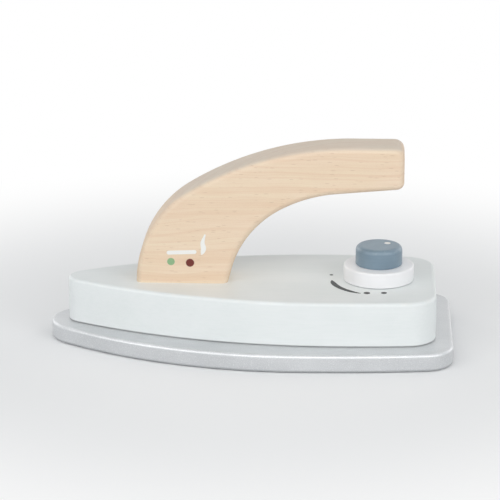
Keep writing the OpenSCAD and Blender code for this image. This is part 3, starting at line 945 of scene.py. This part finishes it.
def stroke(spine, widths):
    """Brush stroke along a spine of points, with a width at each and round ends."""
    left, right = [], []
    for i, (p, w) in enumerate(zip(spine, widths)):
        onward = (spine[min(i + 1, len(spine) - 1)] - spine[max(i - 1, 0)]).normalized()
        aside = Vector((-onward.y, onward.x)) * w / 2
        left.append(p + aside)
        right.append(p - aside)

    def cap(end, before_end, w):
        outward = math.degrees(math.atan2(end.y - before_end.y, end.x - before_end.x))
        return [end + polar(w / 2, outward - 90 + 180 * i / CAP_STEPS) for i in range(1, CAP_STEPS)]

    return right + cap(spine[-1], spine[-2], widths[-1]) + left[::-1] + cap(spine[0], spine[1], widths[0])


def on_handle(x, z, height):
    return (x, -HANDLE_T / 2 - height, z)


def on_body(x, y, height):
    return (x, y, SEAT_Z + height)


def on_knob(x, y, height):
    return (x, y, KNOB_TOP_Z + height)


WHITE_INK = ink("white_ink", (0.93, 0.92, 0.9), (0.88, 0.87, 0.84), rough=0.4)
GREEN_INK = ink("sage_green_ink", (0.31, 0.49, 0.27), (0.26, 0.44, 0.23), rough=0.4)
RED_INK = ink("dark_red_ink", (0.2, 0.03, 0.02), (0.13, 0.02, 0.015), rough=0.35)
BLACK_INK = ink("dark_grey_ink", (0.055, 0.06, 0.06), (0.035, 0.04, 0.04), rough=0.45)

printed("green_dot", [dot(GREEN_DOT, GREEN_DOT_R)], on_handle, GREEN_INK, "iron", "bare_wood")
printed("red_dot", [dot(RED_DOT, RED_DOT_R)], on_handle, RED_INK, "iron", "bare_wood")

rule_start, rule_end = Vector(RULE_ENDS[0]), Vector(RULE_ENDS[1])
rule = [rule_start] + straight(rule_start, rule_end, STROKE_STEPS) + [rule_end]
wisp = smooth_line([Vector(p) for p in WISP])
swell = [
    WISP_THIN + WISP_SWELL * math.sin(math.pi * (i / (len(wisp) - 1)) ** WISP_SKEW) for i in range(len(wisp))
]
steam = [stroke(rule, [RULE_W] * len(rule)), stroke(wisp, swell)]
printed("steam_mark", steam, on_handle, WHITE_INK, "iron", "bare_wood")

dial_centre = Vector((DIAL_X, 0))
turns = smooth_line([Vector(turn) for turn in SCALE_TURNS])
sweep = [dial_centre + polar(SCALE_R + SCALE_GROWTH * (t.x - turns[0].x), t.x) for t in turns]
scale = [stroke(sweep, [t.y for t in turns])]
scale += [dot(dial_centre + polar(reach, turn), radius) for turn, reach, radius in SCALE_DOTS]
printed("heat_scale", scale, on_body, BLACK_INK, "iron", "pale_paint_on_wood")
printed("pointer_dot", [dot(POINTER_DOT, POINTER_R)], on_knob, WHITE_INK, "dial", "blue_grey_paint_on_wood")


# Floor and backdrop
# Plain pale paper under the iron, which fades into white away from it. It keeps
# the iron's own soft shadow. Lengths are in metres here.

FLOOR_HALF, FLOOR_SEGMENTS = 3.0, 8
FLOOR_DROP = 0.0002               # keeps the paper clear of the sole plate's face
PAPER = (0.89, 0.895, 0.9)
PURE_WHITE = (1.0, 1.0, 1.0, 1.0)
NEAR_WHITE = 0.35                 # share of pure white in the paper round the iron
FADE_START, FADE_END = 0.1, 0.26  # distances between which the rest turns white
CREASE, CREASE_RAYS = 0.02, 8     # how near a thing takes that white off, painting shade into the crease round the iron, and rays that feel for it

floor_mesh = bmesh.new()
bmesh.ops.create_grid(floor_mesh, x_segments=FLOOR_SEGMENTS, y_segments=FLOOR_SEGMENTS, size=FLOOR_HALF)
floor = blank("floor", floor_mesh)
floor.location.z = -FLOOR_DROP


def seen_directly(tree):
    """1 for the camera's own rays and those that gloss or glass sends on, 0 for the light's."""
    kinds = ("Camera", "Glossy", "Transmission")
    camera, gloss, glass = (tree.node("ShaderNodeLightPath", output=f"Is {kind} Ray") for kind in kinds)
    return camera.most(gloss).most(glass)


paper = Finish("pale_paper", base_color=(*PAPER, 1.0), roughness=0.9)
seen = seen_directly(paper)
spot = paper.node("ShaderNodeTexCoord", output="Object")
away = paper.node("ShaderNodeVectorMath", {"operation": "LENGTH"}, {0: spot}, "Value")
white = paper.node("ShaderNodeEmission", inputs={"Color": PURE_WHITE, "Strength": 1.0})
# Painted shade: ambient occlusion takes the white glow off the paper close to the iron, darkening the crease
# at its foot
open_sky = paper.node("ShaderNodeAmbientOcclusion", {"samples": CREASE_RAYS}, {"Distance": CREASE}, "AO")
faded = (away.ease(FADE_START, FADE_END) * (1 - NEAR_WHITE) + NEAR_WHITE) * open_sky ** 2
lit = Wire(paper, paper.shader.outputs[0])
blended = paper.node("ShaderNodeMixShader", inputs={0: faded * seen, 1: lit, 2: white})
paper.tree.links.new(blended.socket, paper.tree.nodes["Material Output"].inputs["Surface"])
coat(floor, paper)


# Studio light and camera
# Three softboxes before the iron, two weaker ones behind it and a little cool sky
# all round. The camera stands where the photograph's did, with a longer lens.
# Places are in metres, and powers in watts.

SKY, SKY_TINT = 0.28, (0.91, 0.965, 1.0, 1.0)
SOFTBOX_W, SOFTBOX_H, SOFTBOX_AIM = 0.9, 0.7, Vector((0, 0, 0.03))
CAMERA_PLACE = Vector((0.04615, -0.96317, 0.33701))
CAMERA_SIDEWAYS = Vector((0.998318, 0.057796, -0.004646))
CAMERA_AIM = Vector((-0.0005, 0.0, 0.0365))
LENS, SENSOR_W = 182.0, 36.0

world = bpy.data.worlds.new("studio")
bpy.context.scene.world = world
world.use_nodes = True
studio = Nodes(world.node_tree)
sky = studio.node("ShaderNodeBackground", inputs={"Color": SKY_TINT, "Strength": SKY})
backdrop = studio.node("ShaderNodeBackground", inputs={"Color": PURE_WHITE, "Strength": 1.0})
around = studio.node("ShaderNodeMixShader", inputs={0: seen_directly(studio), 1: sky, 2: backdrop})
studio.tree.links.new(around.socket, studio.tree.nodes["World Output"].inputs["Surface"])

for name, place, power in (
    ("front_softbox", (0.0, -1.15, 0.85), 5.15),
    ("left_softbox", (-1.0, -0.9, 0.8), 5.6),
    ("right_softbox", (1.0, -0.9, 0.8), 6.3),
    ("left_back_softbox", (-1.1, 0.9, 0.5), 2.6),
    ("right_back_softbox", (1.1, 0.9, 0.5), 2.6),
):
    lamp = bpy.data.lights.new(name, "AREA")
    lamp.shape, lamp.size, lamp.size_y, lamp.energy = "RECTANGLE", SOFTBOX_W, SOFTBOX_H, power
    softbox = bpy.data.objects.new(name, lamp)
    softbox.location = place
    softbox.rotation_euler = (SOFTBOX_AIM - softbox.location).to_track_quat("-Z", "Y").to_euler()
    bpy.context.scene.collection.objects.link(softbox)

ahead = (CAMERA_AIM - CAMERA_PLACE).normalized()
right = (CAMERA_SIDEWAYS - ahead * CAMERA_SIDEWAYS.dot(ahead)).normalized()
above = right.cross(ahead)
lens = bpy.data.cameras.new("camera")
lens.lens, lens.sensor_width = LENS, SENSOR_W
camera = bpy.data.objects.new("camera", lens)
camera.matrix_world = Matrix.Translation(CAMERA_PLACE) @ Matrix((right, above, -ahead)).transposed().to_4x4()
bpy.context.scene.collection.objects.link(camera)
bpy.context.scene.camera = camera
bpy.context.scene.view_settings.view_transform = "Standard"
